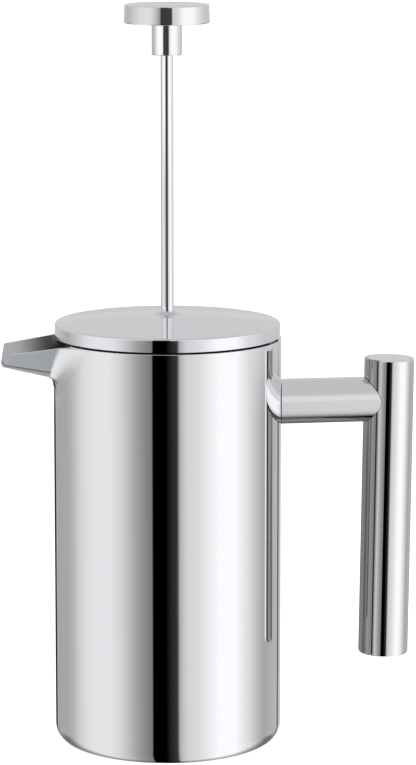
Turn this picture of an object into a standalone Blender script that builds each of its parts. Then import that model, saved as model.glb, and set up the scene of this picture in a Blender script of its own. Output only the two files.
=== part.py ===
"""French press with a double steel wall: one closed solid per real piece.

Metres, +Z up. The origin is on the table under the pot's axis, the handle points to +X and
the spout to -X. The plunger is shown drawn up, with its filter half way up the pot.
"""
import math

import bmesh
import bpy
from mathutils import Matrix, Vector

MM = 0.001
GAP = 0.3 * MM

# The pot: an outer shell, an inner pot inside it and a plate that closes the foot.
BODY_R = 52.5 * MM
BODY_H = 190.2 * MM
SHEET = 0.8 * MM
FOOT_ROUND = 8.4 * MM
FOOT_OPENING_R = 40.5 * MM
POT_BORE_R = 47.5 * MM
POT_FLOOR_Z = 8.0 * MM
POT_CORNER = 6.0 * MM
RIM_ROLL = 3.5 * MM
RIM_EDGE = 0.4 * MM

# The spout: a folded trough let into the mouth.
SPOUT_SHEET = 1.0 * MM
SPOUT_ROOT_R = 47.6 * MM
SPOUT_TIP_TOP_R = 73.9 * MM
SPOUT_TIP_LOW_R = 76.9 * MM
SPOUT_TOP_HALF = (21.3 * MM, 17.8 * MM)
SPOUT_LOW_HALF = (8.4 * MM, 5.2 * MM)
SPOUT_TOP_Z = (189.9 * MM, 186.3 * MM)
SPOUT_LOW_Z = (171.8 * MM, 178.0 * MM)
SPOUT_FOLD_R = (4.5 * MM, 3.0 * MM)
SPOUT_WALL_STEPS = 4
SPOUT_STEPS = 4

# The handle: a level arm tube and an upright grip tube.
ARM_R = 10.5 * MM
ARM_Z = 158.7 * MM
TUBE_WALL = 1.2 * MM
GRIP_R = 11.6 * MM
GRIP_X = 104.1 * MM
GRIP_Z = (37.5 * MM, 178.0 * MM)
GRIP_LEAN = math.radians(0.8)
CAP_THICK = 1.6 * MM

# The lid: a domed cover, a pan under it and a bush for the rod.
LID_R = 51.9 * MM
LID_Z = 190.8 * MM
LID_BAND = 5.6 * MM
LID_ROUND = 0.9 * MM
LID_RISE = 3.5 * MM
LID_SHEET = 1.0 * MM
PAN_R = 46.6 * MM
PAN_TOP_Z = LID_Z + 1.2 * MM
PAN_LOW_Z = PAN_TOP_Z - 12.0 * MM
PAN_SLOTS = 10
BUSH_R = 4.6 * MM
BUSH_FLANGE_R = 6.4 * MM
LOCK_NUT_R = 9.0 * MM
LOCK_NUT_HIGH = 2.5 * MM

# The plunger: knob, collar, rod and the filter stack, which hangs on the rod's lower end.
ROD_R = 2.95 * MM
ROD_CLEAR = 0.1 * MM
COLLAR_R = 7.0 * MM
COLLAR_Z = (320.0 * MM, 334.3 * MM)
KNOB_R = 19.65 * MM
KNOB_TOP_R = 19.3 * MM
KNOB_Z = (334.6 * MM, 343.6 * MM)
KNOB_DOME = 0.6 * MM
FILTER_Z = 142.0 * MM
FILTER_R = 46.9 * MM
SPRING_WIRE_R = 1.6 * MM
MESH_THICK = 0.5 * MM
PLATE_THICK = 1.0 * MM
TOP_PLATE_R = 44.6 * MM
CROSS_PLATE_R = 42.5 * MM
HUB_R = 8.0 * MM
CROSS_HUB = 1.5 * MM
NUT_R = 6.0 * MM
HUB_NUT_HIGH = 4.0 * MM
FINE_MESH_Z = FILTER_Z - MESH_THICK - GAP
HUB_NUT_TOP_Z = FINE_MESH_Z - MESH_THICK / 2 - GAP - PLATE_THICK - CROSS_HUB - GAP

BODY_SIDES = 48
DISC_SIDES = 36
SMALL_SIDES = 24
HOLE_SIDES = 10

STEEL = (0.80, 0.80, 0.81)
INNER_STEEL = (0.68, 0.68, 0.69)
MESH_STEEL = (0.55, 0.55, 0.55)


def clear_scene():
    for obj in list(bpy.data.objects):
        bpy.data.objects.remove(obj)


def material(name, colour, roughness, metallic=1.0):
    made = bpy.data.materials.new(name)
    made.use_nodes = True
    shader = made.node_tree.nodes["Principled BSDF"]
    shader.inputs["Base Color"].default_value = (*colour, 1.0)
    shader.inputs["Roughness"].default_value = roughness
    shader.inputs["Metallic"].default_value = metallic
    made.diffuse_color = (*colour, 1.0)
    return made


def add_object(name, mesh, surface, parent=None, location=(0.0, 0.0, 0.0)):
    """Puts the mesh, whose points are relative to location, into the scene."""
    mesh.shade_smooth()
    mesh.set_sharp_from_angle(angle=math.radians(35))
    mesh.materials.append(surface)
    obj = bpy.data.objects.new(name, mesh)
    bpy.context.scene.collection.objects.link(obj)
    obj.location = location
    obj.parent = parent
    return obj


def add_axis(name, parent=None, location=(0.0, 0.0, 0.0)):
    axis = bpy.data.objects.new(name, None)
    bpy.context.scene.collection.objects.link(axis)
    axis.location = location
    axis.parent = parent
    return axis


def mesh_of(name, points, faces):
    work = bmesh.new()
    corners = [work.verts.new(point) for point in points]
    for face in faces:
        work.faces.new([corners[index] for index in face])
    bmesh.ops.recalc_face_normals(work, faces=work.faces)
    mesh = bpy.data.meshes.new(name)
    work.to_mesh(mesh)
    work.free()
    return mesh


def arc(centre_r, centre_z, radius, start, end, steps):
    """Points (r, z) on an arc, with both ends; angles in degrees from +r towards +z."""
    points = []
    for index in range(steps + 1):
        angle = math.radians(start + (end - start) * index / steps)
        points.append((centre_r + radius * math.cos(angle), centre_z + radius * math.sin(angle)))
    return points


def turned(name, profile, sides, z_shift=0.0):
    """A closed solid from a closed (r, z) outline turned round Z; r = 0 makes a pole."""
    points = []
    rings = []
    for radius, height in profile:
        if radius < 1e-7:
            rings.append([len(points)] * sides)
            points.append((0.0, 0.0, height - z_shift))
            continue
        rings.append(range(len(points), len(points) + sides))
        for side in range(sides):
            angle = math.tau * side / sides
            x = radius * math.cos(angle)
            y = radius * math.sin(angle)
            points.append((x, y, height - z_shift))
    faces = []
    for index, ring in enumerate(rings):
        after = rings[(index + 1) % len(rings)]
        for side in range(sides):
            turn = (side + 1) % sides
            corners = [ring[side], ring[turn], after[turn], after[side]]
            loop = list(dict.fromkeys(corners))
            if len(loop) > 2:
                faces.append(loop)
    return mesh_of(name, points, faces)


def lofted(name, sections, closed_loop=False):
    """A closed solid through equal rings of points, with its two ends filled."""
    count = len(sections[0])
    points = [point for section in sections for point in section]
    faces = []
    last = len(sections) if closed_loop else len(sections) - 1
    for row in range(last):
        here = row * count
        there = (row + 1) % len(sections) * count
        for side in range(count):
            turn = (side + 1) % count
            faces.append([here + side, here + turn, there + turn, there + side])
    if not closed_loop:
        faces.append(list(range(count)))
        faces.append(list(range((len(sections) - 1) * count, len(sections) * count)))
    return mesh_of(name, points, faces)


def cut(obj, cutter):
    """Takes the cutter's shape out of obj with a Boolean modifier."""
    cutter.hide_render = True
    cutter.display_type = "WIRE"
    tool = obj.modifiers.new(cutter.name, "BOOLEAN")
    tool.operation = "DIFFERENCE"
    tool.solver = "EXACT"
    tool.object = cutter


def join_cutters(name, meshes):
    """One cutter object from several separate solids."""
    work = bmesh.new()
    for mesh in meshes:
        work.from_mesh(mesh)
    joined = bpy.data.meshes.new(name)
    work.to_mesh(joined)
    work.free()
    cutter = bpy.data.objects.new(name, joined)
    bpy.context.scene.collection.objects.link(cutter)
    return cutter


def peg(name, centre, radius, depth, sides):
    """A round peg along Z, used to cut a hole."""
    work = bmesh.new()
    place = Matrix.Translation(Vector(centre))
    bmesh.ops.create_cone(
        work,
        cap_ends=True,
        segments=sides,
        radius1=radius,
        radius2=radius,
        depth=depth,
        matrix=place,
    )
    mesh = bpy.data.meshes.new(name)
    work.to_mesh(mesh)
    work.free()
    return mesh


# ---------------------------------------------------------------- the pot


def outer_shell(surface):
    top = BODY_H - SHEET - GAP
    inside = BODY_R - SHEET
    corner_r = BODY_R - FOOT_ROUND
    profile = [(inside, top), (BODY_R, top)]
    profile += arc(corner_r, FOOT_ROUND, FOOT_ROUND, 0, -90, 5)
    profile += [(FOOT_OPENING_R, 0.0), (FOOT_OPENING_R, SHEET)]
    profile += arc(corner_r, FOOT_ROUND, FOOT_ROUND - SHEET, -90, 0, 5)
    return add_object("outer_shell", turned("outer_shell", profile, BODY_SIDES), surface)


def base_plate(surface):
    edge = FOOT_OPENING_R - GAP
    groove = 1.0 * MM
    profile = [(0.0, SHEET), (0.0, 0.0), (edge - 8 * MM, 0.0), (edge - 7 * MM, groove)]
    profile += [(edge - 4 * MM, groove), (edge - 3 * MM, 0.0), (edge, 0.0), (edge, SHEET)]
    profile += [(edge - 2.6 * MM, SHEET), (edge - 3.6 * MM, SHEET + groove)]
    profile += [(edge - 7.4 * MM, SHEET + groove), (edge - 8.4 * MM, SHEET)]
    return add_object("base_plate", turned("base_plate", profile, DISC_SIDES), surface)


def inner_pot(surface):
    outside = POT_BORE_R + SHEET
    floor = POT_FLOOR_Z
    corner_r = POT_BORE_R - POT_CORNER
    corner_z = floor + SHEET + POT_CORNER
    roll_z = BODY_H - RIM_ROLL
    profile = [(0.0, floor + SHEET), (0.0, floor)]
    profile += arc(corner_r, corner_z, POT_CORNER + SHEET, -90, 0, 3)
    profile += arc(POT_BORE_R + RIM_ROLL, roll_z, RIM_ROLL - SHEET, 180, 90, 3)
    profile += [(BODY_R, BODY_H - SHEET), (BODY_R, BODY_H - RIM_EDGE)]
    profile += [(BODY_R - RIM_EDGE, BODY_H)]
    profile += arc(POT_BORE_R + RIM_ROLL, roll_z, RIM_ROLL, 90, 180, 4)
    profile += arc(corner_r, corner_z, POT_CORNER, 0, -90, 3)
    mesh = turned("inner_pot", profile, BODY_SIDES)
    return add_object("inner_pot", mesh, surface)


# ---------------------------------------------------------------- the spout


def trough_outline(half_top, half_low, top_z, low_z, fold):
    """(y, z) of the trough's outer side, from one lip round the folded bottom to the other."""
    lean = math.atan2(top_z - low_z, half_top - half_low)
    turn = math.degrees(lean)
    reach = fold * math.tan(lean / 2)
    centre_y = half_low - reach
    bend = arc(centre_y, low_z + fold, fold, turn - 90, -90, 3)
    side = []
    for step in range(SPOUT_WALL_STEPS):
        share = step / SPOUT_WALL_STEPS
        y = half_top + (bend[0][0] - half_top) * share
        z = top_z + (bend[0][1] - top_z) * share
        side.append((y, z))
    side += bend
    return side + [(-y, z) for y, z in reversed(side)]


def trough_section(x, grow, lift=0.0):
    """The outline at a distance x from the axis, moved outward by grow and up by lift."""
    along = (x - SPOUT_ROOT_R) / (SPOUT_TIP_TOP_R - SPOUT_ROOT_R)
    half_top = SPOUT_TOP_HALF[0] + (SPOUT_TOP_HALF[1] - SPOUT_TOP_HALF[0]) * along
    half_low = SPOUT_LOW_HALF[0] + (SPOUT_LOW_HALF[1] - SPOUT_LOW_HALF[0]) * along
    top_z = SPOUT_TOP_Z[0] + (SPOUT_TOP_Z[1] - SPOUT_TOP_Z[0]) * along
    low_z = SPOUT_LOW_Z[0] + (SPOUT_LOW_Z[1] - SPOUT_LOW_Z[0]) * along
    run = (half_top - half_low) / (top_z - low_z)
    slope = math.hypot(1.0, run)
    half_top += grow * slope + lift * run
    half_low += grow * (slope - run)
    fold = SPOUT_FOLD_R[0] + (SPOUT_FOLD_R[1] - SPOUT_FOLD_R[0]) * along + grow
    return trough_outline(half_top, half_low, top_z + lift, low_z - grow, fold)


def tip_radius(height):
    share = (SPOUT_TOP_Z[1] - height) / (SPOUT_TOP_Z[1] - SPOUT_LOW_Z[1])
    return SPOUT_TIP_TOP_R + (SPOUT_TIP_LOW_R - SPOUT_TIP_TOP_R) * share


def trough_ends(index, grow):
    """Where one line of the trough leaves the pot's bore and where it ends at the tip."""
    root_x = SPOUT_ROOT_R
    tip_x = SPOUT_TIP_TOP_R
    for _ in range(12):
        y, _ = trough_section(root_x, grow)[index]
        root_x = math.sqrt(SPOUT_ROOT_R**2 - y * y)
        tip_x = tip_radius(trough_section(tip_x, grow)[index][1])
    return root_x, tip_x


def spout(surface):
    count = len(trough_section(SPOUT_ROOT_R, 0.0))
    lines = [(index, 0.0) for index in range(count)]
    lines += [(index, -SPOUT_SHEET) for index in reversed(range(count))]
    sections = []
    for step in range(SPOUT_STEPS + 1):
        ring = []
        for index, grow in lines:
            root_x, tip_x = trough_ends(index, grow)
            x = root_x + (tip_x - root_x) * step / SPOUT_STEPS
            y, z = trough_section(x, grow)[index]
            ring.append((-x, y, z))
        sections.append(ring)
    return add_object("spout", lofted("spout", sections), surface)


def spout_cutter():
    """The trough's outer shape grown by the gap and carried up past the rim."""
    sections = []
    for step in range(SPOUT_STEPS + 1):
        x = 36.0 * MM + 24.0 * MM * step / SPOUT_STEPS
        outline = trough_section(x, GAP, 8.0 * MM)
        sections.append([(-x, y, z) for y, z in outline])
    cutter = bpy.data.objects.new("spout_cutter", lofted("spout_cutter", sections))
    bpy.context.scene.collection.objects.link(cutter)
    return cutter


# ---------------------------------------------------------------- the handle


def grip_axis_x(height):
    return GRIP_X + (height - ARM_Z) * math.tan(GRIP_LEAN)


def handle_arm(surface):
    """A tube whose two ends are coped to the pot and to the grip."""
    rows = []
    for radius, order in ((ARM_R, (0, 1)), (ARM_R - TUBE_WALL, (1, 0))):
        for end in order:
            ring = []
            for side in range(SMALL_SIDES):
                angle = math.tau * side / SMALL_SIDES
                y = radius * math.cos(angle)
                z = ARM_Z + radius * math.sin(angle)
                pot_x = math.sqrt((BODY_R + GAP) ** 2 - y * y)
                back = math.sqrt((GRIP_R + GAP) ** 2 - y * y) / math.cos(GRIP_LEAN)
                x = grip_axis_x(z) - back if end else pot_x
                ring.append((x, y, z))
            rows.append(ring)
    mesh = lofted("handle_arm", rows, closed_loop=True)
    return add_object("handle_arm", mesh, surface)


def on_grip(name, profile, surface, pivot_z):
    """A turned piece on the grip's leaning axis, with its origin on that axis."""
    mesh = turned(name, profile, SMALL_SIDES, z_shift=pivot_z)
    obj = add_object(name, mesh, surface, location=(grip_axis_x(pivot_z), 0.0, pivot_z))
    obj.rotation_euler = (0.0, GRIP_LEAN, 0.0)
    return obj


def grip(surface):
    low, high = GRIP_Z
    bore = GRIP_R - TUBE_WALL
    edge = 0.8 * MM
    tube = [(bore, high), (GRIP_R - edge, high), (GRIP_R, high - edge)]
    tube += [(GRIP_R, low + edge), (GRIP_R - edge, low), (bore, low)]
    on_grip("grip_tube", tube, surface, ARM_Z)
    cap_r = bore - GAP
    for name, bottom in (("grip_top_cap", high - CAP_THICK), ("grip_bottom_cap", low)):
        top = bottom + CAP_THICK
        on_grip(name, [(0.0, top), (0.0, bottom), (cap_r, bottom), (cap_r, top)], surface, ARM_Z)


# ---------------------------------------------------------------- the lid


def dome_z(radius):
    """Height of the cover's top at a distance from the axis."""
    edge_r = LID_R - LID_ROUND
    return LID_Z + LID_BAND + LID_ROUND + LID_RISE * (1 - (radius / edge_r) ** 2)


def lid_cover(surface, parent):
    shoulder_z = LID_Z + LID_BAND
    edge_r = LID_R - LID_ROUND
    hole = BUSH_R + GAP
    top = [(edge_r * share, dome_z(edge_r * share)) for share in (0.8, 0.55, 0.3)]
    profile = [(LID_R, LID_Z)] + arc(edge_r, shoulder_z, LID_ROUND, 0, 75, 3)
    profile += top + [(hole, dome_z(hole)), (hole, dome_z(hole) - LID_SHEET)]
    profile += [(r, z - LID_SHEET) for r, z in reversed(top)]
    profile += [(LID_R - LID_SHEET, shoulder_z - 0.2 * MM), (LID_R - LID_SHEET, LID_Z)]
    mesh = turned("lid_cover", profile, BODY_SIDES)
    return add_object("lid_cover", mesh, surface, parent)


def lid_pan(surface, parent):
    """The pressed pan that centres the lid in the pot, with a row of slots for the pour."""
    top = PAN_TOP_Z
    low = PAN_LOW_Z
    hole = BUSH_R + GAP
    inside = PAN_R - SHEET
    profile = [(hole, top), (hole, low), (PAN_R - 2 * MM, low), (PAN_R, low + 2 * MM)]
    profile += [(PAN_R, top), (inside, top), (inside, low + 2.4 * MM)]
    profile += [(inside - 1.4 * MM, low + SHEET), (hole + SHEET, low + SHEET)]
    profile += [(hole + SHEET, top)]
    pan = add_object("lid_pan", turned("lid_pan", profile, BODY_SIDES), surface, parent)
    slots = []
    for index in range(PAN_SLOTS):
        turn = math.pi + (index - (PAN_SLOTS - 1) / 2) * math.radians(6)
        sections = []
        for reach in (PAN_R - 3 * MM, PAN_R + 2 * MM):
            ring = []
            for across, height in ((-1, 3.2), (1, 3.2), (1, 9.0), (-1, 9.0)):
                point = Vector((reach, across * 1.2 * MM, low + height * MM))
                ring.append(Matrix.Rotation(turn, 3, "Z") @ point)
            sections.append(ring)
        slots.append(lofted("slot", sections))
    cut(pan, join_cutters("pan_slots", slots))
    return pan


def rod_guide_bush(surface, parent):
    bore = ROD_R + ROD_CLEAR
    top = dome_z(BUSH_R) + 0.7 * MM
    flange = dome_z(BUSH_R) + GAP
    low = PAN_LOW_Z - LOCK_NUT_HIGH - 2 * GAP
    profile = [(bore + 0.6 * MM, top), (BUSH_R, top), (BUSH_R, low), (bore, low)]
    profile += [(bore, top - 0.6 * MM)]
    ring = [(BUSH_R, top), (BUSH_FLANGE_R - 0.4 * MM, top), (BUSH_FLANGE_R, flange + 0.1 * MM)]
    ring += [(BUSH_FLANGE_R, flange), (BUSH_R, flange)]
    profile[1:2] = ring
    mesh = turned("rod_guide_bush", profile, SMALL_SIDES)
    return add_object("rod_guide_bush", mesh, surface, parent)


# ---------------------------------------------------------------- the plunger


def knob(surface, parent):
    low, high = KNOB_Z
    round_r = 0.5 * MM
    edge = KNOB_TOP_R - round_r
    profile = [(0.0, low), (KNOB_R - 0.5 * MM, low), (KNOB_R, low + 0.5 * MM)]
    profile += arc(edge, high - KNOB_DOME - round_r, round_r, 10, 80, 3)
    profile += [(edge * 0.6, high - KNOB_DOME * 0.36), (0.0, high)]
    mesh = turned("knob_disc", profile, DISC_SIDES, z_shift=low)
    return add_object("knob_disc", mesh, surface, parent, (0.0, 0.0, low))


def knob_collar(surface, parent):
    low, high = COLLAR_Z
    bore = ROD_R + GAP
    blind = high - 3.0 * MM
    edge = 0.5 * MM
    profile = [(0.0, high), (0.0, blind), (bore, blind), (bore, low)]
    profile += [(COLLAR_R - edge, low), (COLLAR_R, low + edge), (COLLAR_R, high)]
    mesh = turned("knob_collar", profile, SMALL_SIDES, z_shift=low)
    return add_object("knob_collar", mesh, surface, parent, (0.0, 0.0, low))


def plunger_rod(surface, parent):
    top = COLLAR_Z[1] - 3.0 * MM - GAP
    low = HUB_NUT_TOP_Z - HUB_NUT_HIGH - 0.5 * MM
    edge = 0.5 * MM
    profile = [(0.0, low), (ROD_R - edge, low), (ROD_R, low + edge), (ROD_R, top), (0.0, top)]
    mesh = turned("plunger_rod", profile, SMALL_SIDES, z_shift=low)
    return add_object("plunger_rod", mesh, surface, parent, (0.0, 0.0, low))


def ring_of_pegs(name, radius, hole_r, count, centre_z):
    pegs = []
    for index in range(count):
        angle = math.tau * (index + 0.5) / count
        centre = (radius * math.cos(angle), radius * math.sin(angle), centre_z)
        pegs.append(peg(name, centre, hole_r, 12 * MM, HOLE_SIDES))
    return pegs


def filter_top_plate(surface, parent):
    """The dished top plate with its hub, pierced by a ring of round holes."""
    hole = ROD_R + GAP
    under = FILTER_Z + MESH_THICK / 2 + GAP
    top = under + PLATE_THICK
    rise = 3.0 * MM
    profile = [(hole, top + rise), (HUB_R, top + rise), (HUB_R + 3 * MM, top)]
    profile += [(TOP_PLATE_R - 3 * MM, top), (TOP_PLATE_R, top + 1.6 * MM)]
    profile += [(TOP_PLATE_R, top + 0.6 * MM), (TOP_PLATE_R - 3 * MM, under)]
    profile += [(HUB_R + 3 * MM, under), (HUB_R - 0.5 * MM, under + rise - 0.4 * MM)]
    profile += [(hole, under + rise - 0.4 * MM)]
    shift = [(r, z - FILTER_Z) for r, z in profile]
    mesh = turned("filter_top_plate", shift, DISC_SIDES)
    plate = add_object("filter_top_plate", mesh, surface, parent, (0.0, 0.0, FILTER_Z))
    holes = ring_of_pegs("hole", 26 * MM, 3.2 * MM, 12, FILTER_Z)
    cut(plate, join_cutters("top_plate_holes", holes))
    return plate


def woven_screen(name, surface, parent, centre_z):
    """A woven screen, here a thin plain disc."""
    half = MESH_THICK / 2
    hole = ROD_R + GAP
    edge = CROSS_PLATE_R + 0.8 * MM
    profile = [(hole, half), (hole, -half), (edge, -half), (edge, half)]
    mesh = turned(name, profile, DISC_SIDES)
    return add_object(name, mesh, surface, parent, (0.0, 0.0, centre_z))


def filter_spring(surface, parent):
    """The coil that wipes the wall, here the plain ring that the coil fills."""
    centre_r = FILTER_R - SPRING_WIRE_R
    profile = arc(centre_r, -SPRING_WIRE_R * 0.3, SPRING_WIRE_R, 0, 360, 8)[:-1]
    mesh = turned("filter_spring", profile, DISC_SIDES)
    return add_object("filter_spring", mesh, surface, parent, (0.0, 0.0, FILTER_Z))


def filter_cross_plate(surface, parent):
    """The plate that clamps the screen from below, pierced by a ring of large holes."""
    top = FINE_MESH_Z - MESH_THICK / 2 - GAP
    under = top - PLATE_THICK
    hole = ROD_R + GAP
    edge = CROSS_PLATE_R
    hub_low = under - CROSS_HUB
    profile = [(hole, top), (hole, hub_low), (HUB_R, hub_low), (HUB_R, under)]
    profile += [(edge, under), (edge, top)]
    shift = [(r, z - FILTER_Z) for r, z in profile]
    mesh = turned("filter_cross_plate", shift, DISC_SIDES)
    plate = add_object("filter_cross_plate", mesh, surface, parent, (0.0, 0.0, FILTER_Z))
    holes = ring_of_pegs("hole", 25 * MM, 5.9 * MM, 10, FILTER_Z - 4 * MM)
    cut(plate, join_cutters("cross_plate_holes", holes))
    return plate


def hex_reach(angle):
    """Distance from the centre to the side of a hexagon with corners 1 away."""
    within = angle % math.radians(60) - math.radians(30)
    return math.cos(math.radians(30)) / math.cos(within)


def nut(name, surface, parent, corner_r, bore, low, high):
    """A six-sided nut round Z with a round bore."""
    rows = []
    for outside, order in ((True, (low, high)), (False, (high, low))):
        for height in order:
            ring = []
            for step in range(SMALL_SIDES):
                angle = math.tau * step / SMALL_SIDES
                reach = corner_r * hex_reach(angle) if outside else bore
                ring.append((reach * math.cos(angle), reach * math.sin(angle), height - low))
            rows.append(ring)
    mesh = lofted(name, rows, closed_loop=True)
    return add_object(name, mesh, surface, parent, (0.0, 0.0, low))


def build():
    clear_scene()
    polished = material("polished_steel", STEEL, 0.04)
    inner = material("satin_steel", INNER_STEEL, 0.25)
    woven = material("woven_steel", MESH_STEEL, 0.4)

    shell = outer_shell(polished)
    pot = inner_pot(inner)
    base_plate(polished)
    spout(polished)
    notch = spout_cutter()
    cut(shell, notch)
    cut(pot, notch)
    handle_arm(polished)
    grip(polished)

    lid_axis = add_axis("lid_axis")
    lid_cover(polished, lid_axis)
    lid_pan(inner, lid_axis)

    bush_axis = add_axis("bush_axis", lid_axis)
    rod_guide_bush(polished, bush_axis)
    nut_top = PAN_LOW_Z - GAP
    nut_low = nut_top - LOCK_NUT_HIGH
    nut("bush_lock_nut", inner, bush_axis, LOCK_NUT_R, BUSH_R + GAP, nut_low, nut_top)

    plunger_axis = add_axis("plunger_axis", bush_axis)
    knob(polished, plunger_axis)
    knob_collar(polished, plunger_axis)
    plunger_rod(polished, plunger_axis)
    filter_top_plate(inner, plunger_axis)
    woven_screen("filter_coarse_mesh", woven, plunger_axis, FILTER_Z)
    woven_screen("filter_fine_mesh", woven, plunger_axis, FINE_MESH_Z)
    filter_spring(inner, plunger_axis)
    filter_cross_plate(inner, plunger_axis)
    nut_low = HUB_NUT_TOP_Z - HUB_NUT_HIGH
    nut("filter_hub_nut", inner, plunger_axis, NUT_R, ROD_R + GAP, nut_low, HUB_NUT_TOP_Z)


build()
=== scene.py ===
"""Looks of the double-wall steel french press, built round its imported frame.

Metres, +Z up, handle to +X and spout to -X. Every size comes from the frame's own boxes or
from the named values below.
"""
import math

import bmesh
import bpy
from mathutils import Matrix, Vector


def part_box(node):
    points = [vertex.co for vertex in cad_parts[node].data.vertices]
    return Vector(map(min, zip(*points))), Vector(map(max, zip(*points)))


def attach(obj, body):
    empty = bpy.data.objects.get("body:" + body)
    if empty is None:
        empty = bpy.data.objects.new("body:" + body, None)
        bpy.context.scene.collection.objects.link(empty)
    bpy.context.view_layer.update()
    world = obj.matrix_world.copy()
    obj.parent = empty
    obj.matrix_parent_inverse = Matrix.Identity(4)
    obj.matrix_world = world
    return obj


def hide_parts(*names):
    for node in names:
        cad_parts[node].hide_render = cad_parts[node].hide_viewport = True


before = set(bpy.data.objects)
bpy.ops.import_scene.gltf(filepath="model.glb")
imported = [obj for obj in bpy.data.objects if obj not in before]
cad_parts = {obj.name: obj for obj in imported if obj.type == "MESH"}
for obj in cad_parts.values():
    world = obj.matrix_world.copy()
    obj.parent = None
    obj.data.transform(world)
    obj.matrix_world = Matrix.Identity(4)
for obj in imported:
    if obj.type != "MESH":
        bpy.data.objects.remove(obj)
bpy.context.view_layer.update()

MM = 0.001

# ------------------------------------------------------------------ sizes read from the frame


def radius_of(node):
    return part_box(node)[1].y


def low_of(node):
    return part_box(node)[0].z


def high_of(node):
    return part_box(node)[1].z


BODY_R = radius_of("outer_shell")
RIM_Z = high_of("inner_pot")
FLOOR_Z = low_of("inner_pot")
LID_R = radius_of("lid_cover")
LID_Z = low_of("lid_cover")
ROD_R = radius_of("plunger_rod")
ARM_R = radius_of("handle_arm")
ARM_Z = (low_of("handle_arm") + high_of("handle_arm")) / 2
GRIP_R = radius_of("grip_tube")

# Sizes that the boxes don't hold and that more than one piece needs: the pot's sheet, its
# finest seam and the play round the rod.
WALL = 0.8 * MM
SEAM = 0.1 * MM
ROD_PLAY = 0.1 * MM

# How finely a round piece is divided, for the wide ones and the narrow ones.
SIDES = 256
SMALL_SIDES = 128
# An extra point goes this far inside the end of a long run of an outline: at least so long,
# and so many times as long as the run it meets.
SUPPORT = 0.05 * MM
SUPPORTED_RUN = 8 * SUPPORT
SUPPORTED_RATIO = 4
# A corner stays as it is when half the angle between its two runs is more than this.
NEARLY_STRAIGHT = math.radians(88)
# An edge that turns more than this many degrees stays sharp.
SHARP = 35
# Nothing shorter than this counts as a length.
TINY = 1e-7

# ------------------------------------------------------------------ mesh helpers


def finished(name, work, surface, body, nodes=(), sharp=SHARP):
    """Turns a bmesh into a smooth-shaded piece that rides on a body and stands for nodes."""
    bmesh.ops.recalc_face_normals(work, faces=work.faces)
    mesh = bpy.data.meshes.new(name)
    work.to_mesh(mesh)
    work.free()
    mesh.shade_smooth()
    mesh.set_sharp_from_angle(angle=math.radians(sharp))
    mesh.materials.append(surface)
    piece = bpy.data.objects.new(name, mesh)
    bpy.context.scene.collection.objects.link(piece)
    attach(piece, body)
    if nodes:
        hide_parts(*nodes)
    return piece


def arc(centre_r, centre_z, radius, start, end, steps):
    """Points (r, z) of an arc from the angle start to the angle end, in degrees."""
    points = []
    for index in range(steps + 1):
        angle = math.radians(start + (end - start) * index / steps)
        points.append((centre_r + radius * math.cos(angle), centre_z + radius * math.sin(angle)))
    return points


def softened(corners, steps=8):
    """An outline of (r, z, rounding) corners with each corner replaced by a tangent arc."""
    points = []
    count = len(corners)
    for index, (r, z, rounding) in enumerate(corners):
        here = Vector((r, z))
        before = Vector(corners[index - 1][:2]) - here
        after = Vector(corners[(index + 1) % count][:2]) - here
        if rounding <= 0 or before.length < TINY or after.length < TINY:
            points.append((r, z))
            continue
        before.normalize()
        after.normalize()
        half = math.acos(max(-1, min(1, before.dot(after)))) / 2
        if half > NEARLY_STRAIGHT:
            points.append((r, z))
            continue
        back = rounding / math.tan(half)
        centre = here + (before + after).normalized() * (rounding / math.sin(half))
        first = here + before * back - centre
        last = here + after * back - centre
        sweep = math.atan2(first.x * last.y - first.y * last.x, first.dot(last))
        for step in range(steps + 1):
            turn = Matrix.Rotation(sweep * step / steps, 2)
            point = centre + turn @ first
            points.append((point.x, point.y))
    return points


def supported(outline):
    """The outline with a point just inside each end of a run that meets much shorter ones."""
    count = len(outline)
    lengths = []
    for index, point in enumerate(outline):
        after = outline[(index + 1) % count]
        lengths.append(math.hypot(after[0] - point[0], after[1] - point[1]))
    points = []
    for index, (r, z) in enumerate(outline):
        points.append((r, z))
        after_r, after_z = outline[(index + 1) % count]
        length = lengths[index]
        if length < SUPPORTED_RUN or max(r, after_r) < TINY:
            continue
        shares = []
        if length > SUPPORTED_RATIO * lengths[index - 1]:
            shares.append(SUPPORT / length)
        if length > SUPPORTED_RATIO * lengths[(index + 1) % count]:
            shares.append(1 - SUPPORT / length)
        points += [(r + (after_r - r) * share, z + (after_z - z) * share) for share in shares]
    return points


def add_turned(work, outline, sides=SIDES, place=None):
    """Adds a closed (r, z) outline turned round Z; points at r = 0 become poles."""
    rings = []
    for radius, height in supported(outline):
        if radius < TINY:
            point = Vector((0.0, 0.0, height))
            rings.append([work.verts.new(place @ point if place else point)] * sides)
            continue
        ring = []
        for side in range(sides):
            angle = math.tau * side / sides
            point = Vector((radius * math.cos(angle), radius * math.sin(angle), height))
            ring.append(work.verts.new(place @ point if place else point))
        rings.append(ring)
    for index, ring in enumerate(rings):
        after = rings[(index + 1) % len(rings)]
        for side in range(sides):
            turn = (side + 1) % sides
            corners = [ring[side], ring[turn], after[turn], after[side]]
            loop = list(dict.fromkeys(corners))
            if len(loop) > 2:
                work.faces.new(loop)


def turned(name, outline, surface, body, nodes=(), sides=SIDES, place=None):
    """A piece turned from a closed (r, z) outline."""
    work = bmesh.new()
    add_turned(work, outline, sides, place)
    return finished(name, work, surface, body, nodes)


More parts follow.
